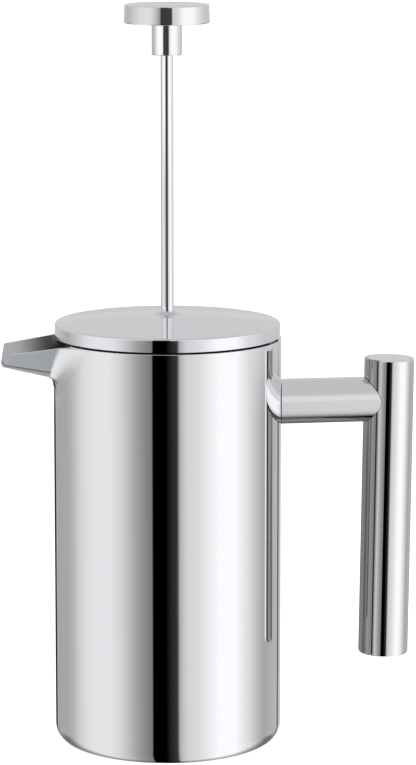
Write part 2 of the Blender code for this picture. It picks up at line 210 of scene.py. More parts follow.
def add_loft(work, sections, row_closed=False, capped=False):
    """Adds a skin over closed sections, with the last joined to the first or with flat ends."""
    rows = [[work.verts.new(point) for point in section] for section in sections]
    count = len(rows[0])
    for index in range(len(rows) if row_closed else len(rows) - 1):
        here = rows[index]
        there = rows[(index + 1) % len(rows)]
        for side in range(count):
            turn = (side + 1) % count
            work.faces.new([here[side], here[turn], there[turn], there[side]])
    if capped:
        work.faces.new(rows[0])
        work.faces.new(rows[-1])


def helper_object(name, work):
    """A bmesh as an object that cuts a piece and isn't one itself."""
    bmesh.ops.recalc_face_normals(work, faces=work.faces)
    mesh = bpy.data.meshes.new(name)
    work.to_mesh(mesh)
    work.free()
    made = bpy.data.objects.new(name, mesh)
    bpy.context.scene.collection.objects.link(made)
    return made


def notched(piece, cutter):
    """Cuts the cutter's shape out of the piece for good."""
    tool = piece.modifiers.new("notch", "BOOLEAN")
    tool.operation = "DIFFERENCE"
    tool.solver = "EXACT"
    tool.object = cutter
    bpy.context.view_layer.update()
    graph = bpy.context.evaluated_depsgraph_get()
    made = bpy.data.meshes.new_from_object(piece.evaluated_get(graph))
    piece.modifiers.clear()
    old = piece.data
    piece.data = made
    made.name = old.name
    bpy.data.meshes.remove(old)
    made.shade_smooth()
    made.set_sharp_from_angle(angle=math.radians(SHARP))


# ------------------------------------------------------------------ materials


class Nodes:
    """Short calls for building a node tree. A value is either a socket or a plain value."""

    def __init__(self, tree):
        self.tree = tree

    def add(self, kind, **settings):
        node = self.tree.nodes.new(kind)
        for key, value in settings.items():
            setattr(node, key, value)
        return node

    def put(self, value, target):
        if isinstance(value, bpy.types.NodeSocket):
            self.tree.links.new(value, target)
        else:
            target.default_value = value

    def math(self, operation, first, second=0.0):
        node = self.add("ShaderNodeMath", operation=operation)
        self.put(first, node.inputs[0])
        self.put(second, node.inputs[1])
        return node.outputs[0]

    def dot(self, vector, direction):
        """How far a vector reaches along a direction."""
        node = self.add("ShaderNodeVectorMath", operation="DOT_PRODUCT")
        self.put(vector, node.inputs[0])
        self.put(direction, node.inputs[1])
        return node.outputs["Value"]

    def scaled(self, vector, scale):
        node = self.add("ShaderNodeMapping")
        self.put(scale, node.inputs["Scale"])
        self.put(vector, node.inputs["Vector"])
        return node.outputs[0]

    def noise(self, vector, scale, detail, roughness):
        node = self.add("ShaderNodeTexNoise")
        self.put(scale, node.inputs["Scale"])
        self.put(detail, node.inputs["Detail"])
        self.put(roughness, node.inputs["Roughness"])
        self.put(vector, node.inputs["Vector"])
        return node.outputs["Fac"]

    def share(self, value, low, high, kind="LINEAR"):
        """Maps low..high to 0..1, and stays there outside."""
        node = self.add("ShaderNodeMapRange", interpolation_type=kind)
        self.put(low, node.inputs["From Min"])
        self.put(high, node.inputs["From Max"])
        self.put(value, node.inputs["Value"])
        return node.outputs["Result"]

    def spread(self, value, low, high):
        """Maps 0..1 to low..high."""
        node = self.add("ShaderNodeMapRange")
        self.put(low, node.inputs["To Min"])
        self.put(high, node.inputs["To Max"])
        self.put(value, node.inputs["Value"])
        return node.outputs["Result"]

    def mix(self, factor, first, second, kind="MIX"):
        """Mixes two colours, from the first at 0 to the second at 1."""
        node = self.add("ShaderNodeMix", data_type="RGBA", blend_type=kind)
        self.put(factor, node.inputs["Factor"])
        self.put(first, node.inputs["A"])
        self.put(second, node.inputs["B"])
        return node.outputs["Result"]

    def ramp(self, position, stops):
        """A colour ramp through stops of (position from 0 to 1, (red, green, blue))."""
        node = self.add("ShaderNodeValToRGB")
        elements = node.color_ramp.elements
        while len(elements) < len(stops):
            elements.new(0.5)
        for element, (place, colour) in zip(elements, stops):
            element.position = place
            element.color = (*colour, 1.0)
        self.put(position, node.inputs["Fac"])
        return node.outputs["Color"]

    def bump(self, height, strength, depth):
        node = self.add("ShaderNodeBump")
        self.put(strength, node.inputs["Strength"])
        self.put(depth, node.inputs["Distance"])
        self.put(height, node.inputs["Height"])
        return node.outputs["Normal"]


def new_metal(name, metallic=1.0):
    """A metallic material, with calls for its nodes and its shader's inputs."""
    made = bpy.data.materials.new(name)
    made.use_nodes = True
    inputs = made.node_tree.nodes["Principled BSDF"].inputs
    inputs["Metallic"].default_value = metallic
    return made, Nodes(made.node_tree), inputs


# A steel's tone drifts in soft clouds and along fine polishing lines.
CLOUD_SCALE = 22.0
CLOUD_DETAIL = 4.0
CLOUD_ROUGHNESS = 0.5
CLOUD_SHARE = 0.4
LINE_SCALE = 60.0
LINE_DETAIL = 5.0
LINE_ROUGHNESS = 0.6
LINE_SHARE = 0.6
SCUFF_DEPTH = 0.05 * MM


def steel(name, light, dark, smooth, rough, grain, scuff=0.0, metallic=1.0):
    """Steel whose tone and roughness drift slightly and whose polishing lines run one way."""
    made, nodes, inputs = new_metal(name, metallic)
    place = nodes.add("ShaderNodeTexCoord").outputs["Object"]
    clouds = nodes.noise(place, CLOUD_SCALE, CLOUD_DETAIL, CLOUD_ROUGHNESS)
    lines = nodes.noise(nodes.scaled(place, grain), LINE_SCALE, LINE_DETAIL, LINE_ROUGHNESS)
    soft = nodes.math("MULTIPLY", clouds, CLOUD_SHARE)
    fine = nodes.math("MULTIPLY", lines, LINE_SHARE)
    drift = nodes.math("ADD", soft, fine)
    nodes.put(nodes.mix(drift, (*dark, 1.0), (*light, 1.0)), inputs["Base Color"])
    nodes.put(nodes.spread(drift, smooth, rough), inputs["Roughness"])
    if scuff > 0:
        nodes.put(nodes.bump(lines, scuff, SCUFF_DEPTH), inputs["Normal"])
    return made


def shaded(made, direction, start, tones):
    """Paints shade into the tone by place: tones hold (millimetres past start along direction, share).
    """
    nodes = Nodes(made.node_tree)
    target = made.node_tree.nodes["Principled BSDF"].inputs["Base Color"]
    clean = target.links[0].from_socket
    place = nodes.add("ShaderNodeTexCoord").outputs["Object"]
    first = start + tones[0][0] * MM
    last = start + tones[-1][0] * MM
    stops = []
    for offset, tone in tones:
        stops.append(((start + offset * MM - first) / (last - first), (tone, tone, tone)))
    position = nodes.share(nodes.dot(place, direction), first, last)
    nodes.put(nodes.mix(1.0, clean, nodes.ramp(position, stops), "MULTIPLY"), target)


WIRE_TONE = (0.7, 0.7, 0.7, 1.0)
GAP_TONE = (0.05, 0.05, 0.05, 1.0)
WIRE_ROUGHNESS = 0.28
GAP_ROUGHNESS = 0.6
WIRE_BUMP = 0.6
WIRE_DEPTH = 0.1 * MM
# A higher power makes the wires narrower.
WIRE_POWER = 3.0


def woven(name, pitch):
    """Fine wire cloth: two sets of crossing wires over dark gaps."""
    made, nodes, inputs = new_metal(name)
    split = nodes.add("ShaderNodeSeparateXYZ")
    nodes.put(nodes.add("ShaderNodeTexCoord").outputs["Object"], split.inputs[0])
    waves = []
    for axis in ("X", "Y"):
        phase = nodes.math("MULTIPLY", split.outputs[axis], math.pi / pitch)
        waves.append(nodes.math("ABSOLUTE", nodes.math("SINE", phase)))
    wires = nodes.math("POWER", nodes.math("MAXIMUM", *waves), WIRE_POWER)
    nodes.put(nodes.mix(wires, GAP_TONE, WIRE_TONE), inputs["Base Color"])
    nodes.put(nodes.spread(wires, GAP_ROUGHNESS, WIRE_ROUGHNESS), inputs["Roughness"])
    nodes.put(nodes.bump(wires, WIRE_BUMP, WIRE_DEPTH), inputs["Normal"])
    return made


def dressed(node, surface):
    """Gives a CAD node, which keeps its own shape, this surface."""
    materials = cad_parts[node].data.materials
    materials.clear()
    materials.append(surface)


# Each finish is its light tone, dark tone, least roughness and most roughness.
POLISHED = ((0.945, 0.948, 0.955), (0.925, 0.93, 0.94), 0.0, 0.03)
BRUSHED = ((0.80, 0.80, 0.81), (0.70, 0.70, 0.71), 0.20, 0.34)
BRUSHED_SCUFF = 0.15

MIRROR = steel("mirror_steel", *POLISHED, (1, 1, 12))
LID_MIRROR = steel("lid_steel", (0.94, 0.945, 0.96), (0.925, 0.93, 0.945), 0.0, 0.05, (3, 3, 3))
TURNED_MIRROR = steel("turned_steel", (0.945, 0.948, 0.955), (0.92, 0.923, 0.93), 0.0, 0.04, (2, 2, 30))
BUSH_STEEL = steel("bush_steel", (0.87, 0.875, 0.885), (0.82, 0.825, 0.835), 0.0, 0.04, (2, 2, 30))
SATIN = steel("satin_steel", *BRUSHED, (1, 1, 20), BRUSHED_SCUFF)
SPRING_STEEL = steel("spring_steel", (0.80, 0.79, 0.77), (0.66, 0.65, 0.63), 0.16, 0.3, (4, 4, 4), 0.1)
COARSE_CLOTH = woven("coarse_cloth", 0.7 * MM)
FINE_CLOTH = woven("fine_cloth", 0.35 * MM)

# ------------------------------------------------------------------ the spout

# The trough's sizes; a pair holds one at its root and one at its tip.
SPOUT_SHEET = 1.0 * MM
SPOUT_ROOT_R = 47.6 * MM
SPOUT_TIP_TOP_R = 73.9 * MM
SPOUT_TIP_LOW_R = 76.9 * MM
SPOUT_TOP_HALF = (21.3 * MM, 17.8 * MM)
SPOUT_LOW_HALF = (8.4 * MM, 5.2 * MM)
SPOUT_TOP_Z = (189.9 * MM, 186.3 * MM)
SPOUT_LOW_Z = (171.8 * MM, 178.0 * MM)
SPOUT_FOLD_R = (4.5 * MM, 3.0 * MM)
SPOUT_WALL_STEPS = 16
SPOUT_STEPS = 24
SPOUT_FOLD_STEPS = 10
# Rounds in which a line's ends settle, since an end's place and the outline there depend on
# each other.
CLOSING_ROUNDS = 12
# The line of the trough's outline that starts its flat bottom.
LOWEST_LINE = SPOUT_WALL_STEPS + SPOUT_FOLD_STEPS + 2
# The narrow groove above the fold.
GROOVE_WIDE = 0.8 * MM
GROOVE_DEEP = 0.45 * MM
# The rounding of the trough's edges.
LIP_ROUND = 0.45 * MM
LIP_ROUND_STEPS = 3
LIP_SHARPEST = math.radians(50)
# The stretch of the trough's shape that cuts the notch in the pot, and its height over the lips.
NOTCH_START = 36.0 * MM
NOTCH_LENGTH = 24.0 * MM
NOTCH_ABOVE = 8.0 * MM

# How far the fillet reaches over the shell and along the trough, at its bottom and at its top.
FILLET_GROW = (7.5 * MM, 9.5 * MM)
FILLET_REACH = (4.5 * MM, 6.0 * MM)
# The least run of the fillet along the trough past its bend.
FILLET_RUN_OUT = 1.5 * MM
FILLET_PROUD = 0.01 * MM
FILLET_BELOW_RIM = 0.1 * MM
# How far the fillet's hidden edge is sunk into the trough and into the pot.
FILLET_SUNK = (0.4 * MM, 0.35 * MM)
FILLET_END_ROUND = 0.35 * MM
FILLET_STEPS = 28
FILLET_SHARP = 60
# The last steps of the fillet, which have the trough's satin.
FILLET_SATIN = 6

# Painted shade inside the trough, darkest where it leaves the pot under the lid: (millimetres
# from the pot's axis, share of the tone).
TROUGH_PAINTED_SHADE = [
    (44.0, 0.50), (49.3, 0.40), (51.6, 0.15), (54.0, 0.14), (57.2, 0.22), (61.9, 0.45),
    (66.6, 0.71), (70.0, 0.80),
]
# Heights, at the trough's root and tip, of the crease over its fold, and the painted line of
# shade along it: (millimetres across the crease, share of the tone).
CREASE_Z = (175.45 * MM, 180.3 * MM)
CREASE_PAINTED_SHADE = [(-20.0, 1.0), (-0.7, 1.0), (-0.45, 0.42), (0.1, 0.42), (0.35, 1.0), (20.0, 1.0)]


def trough_inside_steel():
    light = (0.93, 0.935, 0.945)
    dark = (0.90, 0.905, 0.915)
    made = steel("trough_inside_steel", light, dark, 0.36, 0.44, (1, 4, 16))
    # Painted shade: the inside darkens towards the pot, where the lid shades it.
    shaded(made, (-1.0, 0.0, 0.0), 0.0, TROUGH_PAINTED_SHADE)
    return made


def trough_outside_steel():
    """Satin that spreads a part of the light evenly, with a painted line of shade along the crease."""
    light = (0.71, 0.73, 0.745)
    dark = (0.69, 0.708, 0.725)
    made = steel("spout_steel", light, dark, 0.70, 0.78, (8, 1, 1), metallic=0.84)
    root = Vector((-SPOUT_ROOT_R, CREASE_Z[0]))
    tip = Vector((-SPOUT_TIP_LOW_R, CREASE_Z[1]))
    run = (tip - root).normalized()
    # Painted shade: a dark line along the crease over the fold.
    shaded(made, (run.y, 0.0, -run.x), root.x * run.y - root.y * run.x, CREASE_PAINTED_SHADE)
    return made


TROUGH_INSIDE = trough_inside_steel()
SPOUT_STEEL = trough_outside_steel()
LIP_STEEL = steel("lip_steel", (0.99, 0.992, 0.995), (0.975, 0.98, 0.985), 0.12, 0.18, (8, 1, 1))


def between(pair, share):
    return pair[0] + (pair[1] - pair[0]) * share


def trough_outline(half_top, half_low, top_z, low_z, fold, groove):
    """(y, z) of the trough's outer side, from one lip round the folded bottom to the other."""
    lean = math.atan2(top_z - low_z, half_top - half_low)
    centre_y = half_low - fold * math.tan(lean / 2)
    bend = arc(centre_y, low_z + fold, fold, math.degrees(lean) - 90, -90, SPOUT_FOLD_STEPS)
    wall = Vector((bend[0][0] - half_top, bend[0][1] - top_z))
    run = wall.normalized()
    inward = Vector((run.y, -run.x)) * groove
    side = []
    for step in range(SPOUT_WALL_STEPS):
        point = Vector((half_top, top_z)) + wall * (step / SPOUT_WALL_STEPS)
        side.append((point.x, point.y))
    edge = Vector(bend[0])
    side.append(tuple(edge - run * GROOVE_WIDE))
    side.append(tuple(edge - run * (GROOVE_WIDE / 2) + inward))
    side += bend
    return side + [(-y, z) for y, z in reversed(side)]


def trough_section(x, grow, lift=0.0, groove=0.0):
    """The outline at a distance x from the axis, moved outward by grow and up by lift."""
    along = (x - SPOUT_ROOT_R) / (SPOUT_TIP_TOP_R - SPOUT_ROOT_R)
    half_top = between(SPOUT_TOP_HALF, along)
    half_low = between(SPOUT_LOW_HALF, along)
    top_z = between(SPOUT_TOP_Z, along)
    low_z = between(SPOUT_LOW_Z, along)
    run = (half_top - half_low) / (top_z - low_z)
    slope = math.hypot(1.0, run)
    half_top += grow * slope + lift * run
    half_low += grow * (slope - run)
    fold = between(SPOUT_FOLD_R, along) + grow
    return trough_outline(half_top, half_low, top_z + lift, low_z - grow, fold, groove)


def tip_radius(height):
    """Distance from the axis at which the trough's slanting tip ends, at a height."""
    share = (SPOUT_TOP_Z[1] - height) / (SPOUT_TOP_Z[1] - SPOUT_LOW_Z[1])
    return between((SPOUT_TIP_TOP_R, SPOUT_TIP_LOW_R), share)


def trough_ends(index, grow, root_r=SPOUT_ROOT_R):
    """Where one line of the trough leaves a cylinder round the axis, and where the tip ends it."""
    root_x = root_r
    tip_x = SPOUT_TIP_TOP_R
    for _ in range(CLOSING_ROUNDS):
        y, _ = trough_section(root_x, grow)[index]
        root_x = math.sqrt(root_r**2 - y * y)
        tip_x = tip_radius(trough_section(tip_x, grow)[index][1])
    return root_x, tip_x


def spout_piece():
    """The trough as one sheet: its outer lines, then its inner lines back."""
    count = len(trough_section(SPOUT_ROOT_R, 0.0))
    lines = [(index, 0.0) for index in range(count)]
    lines += [(index, -SPOUT_SHEET) for index in reversed(range(count))]
    ends = [trough_ends(index, grow) for index, grow in lines]
    sections = []
    for step in range(SPOUT_STEPS + 1):
        ring = []
        for (index, grow), (root_x, tip_x) in zip(lines, ends):
            x = root_x + (tip_x - root_x) * step / SPOUT_STEPS
            y, z = trough_section(x, grow, 0.0, GROOVE_DEEP if grow == 0 else 0.0)[index]
            ring.append(Vector((-x, y, z)))
        sections.append(ring)
    work = bmesh.new()
    add_loft(work, sections, capped=True)
    # The loft's faces go round the sheet: outside, lip, inside, lip.
    inside_slot = 1
    lip_slot = 2
    for index, face in enumerate(work.faces):
        side = index % (2 * count)
        if index < SPOUT_STEPS * 2 * count and count <= side < 2 * count - 1:
            face.material_index = inside_slot
        elif side in (count - 1, 2 * count - 1):
            face.material_index = lip_slot
    piece = finished("pouring_spout", work, SPOUT_STEEL, "pot", ["spout"])
    piece.data.materials.append(TROUGH_INSIDE)
    piece.data.materials.append(LIP_STEEL)
    bevel = piece.modifiers.new("edges", "BEVEL")
    bevel.material = lip_slot
    bevel.width = LIP_ROUND
    bevel.segments = LIP_ROUND_STEPS
    bevel.limit_method = "ANGLE"
    bevel.angle_limit = LIP_SHARPEST
    bevel.harden_normals = True


def spout_cutter():
    """The trough's full shape, a little larger and taller, which notches the pot's walls."""
    sections = []
    for step in range(SPOUT_STEPS + 1):
        x = NOTCH_START + NOTCH_LENGTH * step / SPOUT_STEPS
        outline = trough_section(x, SEAM, NOTCH_ABOVE)
        sections.append([Vector((-x, y, z)) for y, z in outline])
    work = bmesh.new()
    add_loft(work, sections, capped=True)
    return helper_object("spout_cutter", work)


def fillet_ring(index):
    """Points of the fillet's cross-section where it follows one line of the trough."""
    root_x, _ = trough_ends(index, 0.0, BODY_R)
    y, z = trough_section(root_x, 0.0)[index]
    corner = Vector((-root_x, y, z))
    ahead_y, ahead_z = trough_section(root_x + MM, 0.0)[index]
    along = (Vector((-root_x - MM, ahead_y, ahead_z)) - corner).normalized()
    low_z = trough_section(root_x, 0.0)[LOWEST_LINE][1]
    top_z = trough_section(root_x, 0.0)[0][1]
    share = max(0.0, min(1.0, (z - low_z) / (top_z - low_z)))
    grow = between(FILLET_GROW, math.sqrt(share))
    start_x, _ = trough_ends(index, grow, BODY_R)
    start_y, start_z = trough_section(start_x, grow)[index]
    lip_x, _ = trough_ends(0, FILLET_GROW[1], BODY_R)
    over = trough_section(lip_x, FILLET_GROW[1])[0][1] - (RIM_Z - FILLET_BELOW_RIM)
    start = Vector((-start_x, start_y, start_z - over * share * share))
    normal = Vector((start.x, start.y, 0.0)).normalized()
    meet = max(0.0, (start - corner).dot(normal) / along.dot(normal))
    bend = corner + along * meet
    end = corner + along * max(between(FILLET_REACH, share), meet + FILLET_RUN_OUT)
    ring = []
    for step in range(FILLET_STEPS + 1):
        t = (1 - math.cos(math.pi * step / FILLET_STEPS)) / 2
        point = start * (1 - t) ** 2 + bend * (2 * t * (1 - t)) + end * (t * t)
        ring.append(point + normal * FILLET_PROUD)
    middle = Vector((-root_x, 0.0, (top_z + low_z) / 2))
    inward = middle - corner
    inward.x = 0.0
    outward = Vector((corner.x, corner.y, 0.0)).normalized()
    hidden = corner + inward.normalized() * FILLET_SUNK[0] - outward * FILLET_SUNK[1]
    return ring + [hidden]


def fillet_end(full):
    """The fillet's last cross-sections at a lip, which shrink and sink in a quarter round."""
    hidden = full[-1]
    rounded = []
    for turn in (0.0, 30.0, 60.0, 90.0):
        angle = math.radians(turn)
        inset = FILLET_END_ROUND * (1 - math.cos(angle))
        drop = Vector((0.0, 0.0, FILLET_END_ROUND * (1 - math.sin(angle))))
        ring = []
        for point in full[:-1]:
            inward = (hidden - point).normalized()
            ring.append(point + inward * inset - drop)
        rounded.append(ring + [hidden - drop])
    return rounded


def spout_fillet():
    """The drawn metal that eases the shell into the trough, tangent to both."""
    count = len(trough_section(BODY_R, 0.0))
    sections = [fillet_ring(index) for index in range(count)]
    sections[:1] = reversed(fillet_end(sections[0]))
    sections[-1:] = fillet_end(sections[-1])
    work = bmesh.new()
    add_loft(work, sections, capped=True)
    satin_slot = 1
    for index, face in enumerate(work.faces):
        if FILLET_STEPS - FILLET_SATIN <= index % (FILLET_STEPS + 2) < FILLET_STEPS:
            face.material_index = satin_slot
    piece = finished("spout_fillet", work, MIRROR, "pot", sharp=FILLET_SHARP)
    piece.data.materials.append(SPOUT_STEEL)


# ------------------------------------------------------------------ the pot

FOOT_ROUND = 8.4 * MM
FOOT_OPENING_R = 40.5 * MM
BORE_R = 47.5 * MM
# The round at the bottom of the bore.
POT_CORNER = 6.0 * MM
# The rim rolls over from the bore and ends in a fine edge on the shell.
RIM_ROLL = 3.5 * MM
RIM_EDGE = 0.2 * MM
# The mirror finish of the rim starts this far outside the bore.
RIM_SHINE = 0.2 * MM
# The shell's straight side has a ring of points at each step.
SHELL_STEP = 8 * MM
SHELL_STEPS = 22
# The groove pressed into the foot plate, measured in from the plate's edge.
FOOT_GROOVE_NEAR = 3.0 * MM
FOOT_GROOVE_FAR = 8.0 * MM
FOOT_GROOVE_RISE = 1.0 * MM
FOOT_GROOVE_SHIFT = 0.4 * MM


def shell_outside():
    seam_z = RIM_Z - WALL
    corner_r = BODY_R - FOOT_ROUND
    outline = [(BODY_R - WALL, seam_z)]
    outline += [(BODY_R, seam_z - step * SHELL_STEP) for step in range(SHELL_STEPS)]
    outline += arc(corner_r, FOOT_ROUND, FOOT_ROUND, 0, -90, 24)
    outline += [(FOOT_OPENING_R, 0.0), (FOOT_OPENING_R, WALL)]
    outline += arc(corner_r, FOOT_ROUND, FOOT_ROUND - WALL, -90, 0, 12)
    return turned("shell_outside", outline, MIRROR, "pot", ["outer_shell"])


def pot_inside():
    """The inner wall, from its floor up to the rim that rolls over to the shell."""
    seam_z = RIM_Z - WALL
    roll_r = BORE_R + RIM_ROLL
    roll_z = RIM_Z - RIM_ROLL
    corner_r = BORE_R - POT_CORNER
    corner_z = FLOOR_Z + WALL + POT_CORNER
    outline = [(0.0, FLOOR_Z + WALL), (0.0, FLOOR_Z)]
    outline += arc(corner_r, corner_z, POT_CORNER + WALL, -90, 0, 12)
    outline += arc(roll_r, roll_z, RIM_ROLL - WALL, 180, 90, 12)
    outline += [(BODY_R - WALL, seam_z), (BODY_R, seam_z)]
    outline += arc(BODY_R - RIM_EDGE, RIM_Z - RIM_EDGE, RIM_EDGE, 0, 90, 6)
    outline += arc(roll_r, roll_z, RIM_ROLL, 90, 180, 16)
    outline += arc(corner_r, corner_z, POT_CORNER, 0, -90, 16)
    inner = turned("pot_inside", outline, SATIN, "pot", ["inner_pot"])
    inner.data.materials.append(MIRROR)
    for face in inner.data.polygons:
        away = math.hypot(face.center.x, face.center.y)
        face.material_index = int(away > BORE_R + RIM_SHINE and face.center.z > roll_z)
    return inner


def foot_plate():
    edge = FOOT_OPENING_R - 2 * SEAM
    near = edge - FOOT_GROOVE_NEAR
    far = edge - FOOT_GROOVE_FAR
    rise = FOOT_GROOVE_RISE
    shift = FOOT_GROOVE_SHIFT
    corners = [(0.0, WALL, 0), (0.0, 0.0, 0), (far, 0.0, 0.8 * MM), (far + rise, rise, 0.6 * MM)]
    corners += [(near - rise, rise, 0.6 * MM), (near, 0.0, 0.8 * MM), (edge, 0.0, 0.2 * MM)]
    corners += [(edge, WALL, 0), (near + shift, WALL, 0), (near + shift - rise, WALL + rise, 0)]
    corners += [(far + rise - shift, WALL + rise, 0), (far - shift, WALL, 0)]
    turned("foot_plate", softened(corners), MIRROR, "pot", ["base_plate"])


def pot_pieces():
    shell = shell_outside()
    inner = pot_inside()
    cutter = spout_cutter()
    notched(shell, cutter)
    notched(inner, cutter)
    bpy.data.objects.remove(cutter)
    foot_plate()


# ------------------------------------------------------------------ the handle

# Half the thickness of the grip's caps, which lie flush in the tube's ends, and their play.
CAP_HALF = 0.8 * MM
CAP_PLAY = 0.03 * MM
TUBE_WALL = 1.2 * MM
ARM_STEPS = 24
# The arm ends this far from the shell and from the grip, as in the CAD.
ARM_GAP = 3 * SEAM

# Painted shade and painted reflection: the side of the grip that faces the pot is darker, and
# so is the underside of the arm: (millimetres from the tube's middle, share of the tone).
GRIP_PAINTED_SHADE = [
    (-11.7, 0.5), (-10.7, 0.5), (-10.4, 0.2), (-10.0, 0.48), (-9.3, 0.5), (-8.7, 0.26),
    (-8.0, 0.3), (-7.5, 0.36), (-7.1, 0.18), (-6.7, 0.4), (-6.2, 0.9), (-5.9, 1.0), (11.7, 1.0),
]
ARM_PAINTED_SHADE = [
    (-10.6, 0.28), (-9.0, 0.36), (-7.6, 0.32), (-6.9, 0.15), (-6.4, 0.11), (-6.0, 0.3),
    (-5.4, 0.58), (-4.6, 0.85), (-3.2, 1.0), (10.6, 1.0),
]


def grip_ends():
    """The two ends of the grip's leaning axis, read from its caps."""
    ends = []
    for node in ("grip_bottom_cap", "grip_top_cap"):
        low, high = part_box(node)
        ends.append((low + high) / 2)
    return ends


def grip_pieces(low_mid, high_mid, lean):
    """The grip's tube and its two caps, turned round the leaning axis."""
    place = Matrix.Translation(low_mid) @ Matrix.Rotation(lean, 4, "Y")
    length = (high_mid - low_mid).length
    bore = GRIP_R - TUBE_WALL
    across = (math.cos(lean), 0.0, -math.sin(lean))
    surface = steel("grip_steel", *POLISHED, (1, 1, 12))
    # Painted shade and painted reflection on the side of the grip that faces the pot.
    shaded(surface, across, low_mid.dot(Vector(across)), GRIP_PAINTED_SHADE)
    corners = [(bore, -CAP_HALF, 0), (bore, length + CAP_HALF, 0)]
    corners += [(GRIP_R, length + CAP_HALF, 0.5 * MM), (GRIP_R, -CAP_HALF, 1.2 * MM)]
    turned("grip_outside", softened(corners), surface, "pot", ["grip_tube"], place=place)

    fit = bore - CAP_PLAY
    caps = [("grip_top_disc", length, LID_MIRROR, "grip_top_cap")]
    caps += [("grip_bottom_disc", 0.0, MIRROR, "grip_bottom_cap")]
    for name, height, finish, node in caps:
        over = height + CAP_HALF
        under = height - CAP_HALF
        corners = [(0.0, over, 0), (0.0, under, 0), (fit, under, 0), (fit, over, 0)]
        turned(name, softened(corners), finish, "pot", [node], place=place)


def arm_section(low_mid, lean, radius, step):
    """A ring of the arm, at a step on its way from the round shell to the round grip."""
    ring = []
    for side in range(SIDES):
        angle = math.tau * side / SIDES
        y = radius * math.cos(angle)
        z = ARM_Z + radius * math.sin(angle)
        pot_x = math.sqrt((BODY_R + ARM_GAP) ** 2 - y * y)
        centre_x = low_mid.x + (z - low_mid.z) * math.tan(lean)
        grip_x = centre_x - math.sqrt((GRIP_R + ARM_GAP) ** 2 - y * y) / math.cos(lean)
        ring.append(Vector((pot_x + (grip_x - pot_x) * step / ARM_STEPS, y, z)))
    return ring


def handle_pieces():
    low_mid, high_mid = grip_ends()
    axis = (high_mid - low_mid).normalized()
    lean = math.atan2(axis.x, axis.z)
    grip_pieces(low_mid, high_mid, lean)
    steps = range(ARM_STEPS + 1)
    rings = [arm_section(low_mid, lean, ARM_R, step) for step in steps]
    rings += [arm_section(low_mid, lean, ARM_R - TUBE_WALL, step) for step in reversed(steps)]
    work = bmesh.new()
    add_loft(work, rings, row_closed=True)
    surface = steel("arm_steel", *POLISHED, (12, 1, 1))
    # Painted shade and painted reflection on the arm's underside.
    shaded(surface, (0.0, 0.0, 1.0), ARM_Z, ARM_PAINTED_SHADE)
    finished("arm_tube", work, surface, "pot", ["handle_arm"])


# ------------------------------------------------------------------ the lid

LID_ROUND = 0.9 * MM
# The edge's round stops where it has the crown's slope, at this many degrees.
LID_ROUND_END = 81
LID_BAND = 5.6 * MM
LID_SHEET = 1.0 * MM
LID_CHAMFER = 0.3 * MM
LID_STEPS = 60
# The cover's crown, and the shallow dip round the bush.
LID_RISE = 3.5 * MM
DIMPLE_R = 9.5 * MM
DIMPLE_DEEP = 0.5 * MM
BUSH_R = 4.6 * MM
BUSH_PLAY = 0.15 * MM
# The bush ends in a bell that spreads from a fine lip round the rod to a thin flange.
BELL_RISE = 1.6 * MM
BELL_POWER = 2.6
BELL_STEPS = 24
BELL_LIP = 0.45 * MM
BELL_LIP_END = 80
FLANGE_ABOVE = 0.15 * MM
FLANGE_DEEP = 0.3 * MM
# Painted shade: the pan darkens where it goes up into the lid: (millimetres from its top, share of the
# tone).
PAN_PAINTED_SHADE = [(-13.0, 1.0), (-5.0, 0.9), (-3.2, 0.25), (0.0, 0.12)]


def dome_z(radius):
    """Height of the cover's top, which dips a little round the bush."""
    edge_r = LID_R - LID_ROUND
    crown = LID_Z + LID_BAND + LID_ROUND + LID_RISE * (1 - (radius / edge_r) ** 2)
    near = max(0.0, 1 - (radius / DIMPLE_R) ** 2)
    return crown - DIMPLE_DEEP * near * near


def lid_top():
    edge_r = LID_R - LID_ROUND
    hole = BUSH_R + BUSH_PLAY
    # The crown starts a little inside the edge's round, so that the two meet softly.
    radii = [edge_r + (hole - edge_r) * step / LID_STEPS for step in range(2, LID_STEPS + 1)]
    top = [(radius, dome_z(radius)) for radius in radii]
    outline = [(LID_R - LID_SHEET, LID_Z), (LID_R - LID_CHAMFER, LID_Z)]
    outline += [(LID_R, LID_Z + LID_CHAMFER)]
    outline += arc(edge_r, LID_Z + LID_BAND, LID_ROUND, 0, LID_ROUND_END, 14)
    outline += top
    outline += [(radius, z - LID_SHEET) for radius, z in reversed(top)]
    turned("lid_top", outline, LID_MIRROR, "lid", ["lid_cover"])


def rod_bush():
    bore = ROD_R + ROD_PLAY
    flange_r = radius_of("rod_guide_bush")
    flange = dome_z(flange_r) + FLANGE_ABOVE
    low = low_of("rod_guide_bush")
    outline = [(BUSH_R, low), (bore, low)]
    outline += arc(bore + BELL_LIP, flange + BELL_RISE - BELL_LIP, BELL_LIP, 180, BELL_LIP_END, 8)
    start_r, start_z = outline[-1]
    for step in range(1, BELL_STEPS + 1):
        r = start_r + (flange_r - start_r) * step / BELL_STEPS
        fade = (flange_r - r) / (flange_r - start_r)
        outline.append((r, flange + (start_z - flange) * fade**BELL_POWER))
    outline += [(flange_r, flange - FLANGE_DEEP), (BUSH_R, flange - FLANGE_DEEP)]
    turned("rod_bush", outline, BUSH_STEEL, "guide_bush", ["rod_guide_bush"], sides=SMALL_SIDES)


def lid_pieces():
    lid_top()
    surface = steel("pan_steel", *BRUSHED, (1, 1, 20), BRUSHED_SCUFF)
    # Painted shade where the pan goes up under the lid.
    shaded(surface, (0.0, 0.0, 1.0), high_of("lid_pan"), PAN_PAINTED_SHADE)
    dressed("lid_pan", surface)
    rod_bush()
    dressed("bush_lock_nut", SATIN)


# ------------------------------------------------------------------ the plunger

KNOB_EDGE = 0.35 * MM
KNOB_RISE = 0.6 * MM
KNOB_STEPS = 24
# The knob's collar goes a little way into the disc, and takes the rod's end.
COLLAR_PLAY = 0.05 * MM
COLLAR_INTO_DISC = 0.2 * MM
COLLAR_SOCKET = 3 * MM


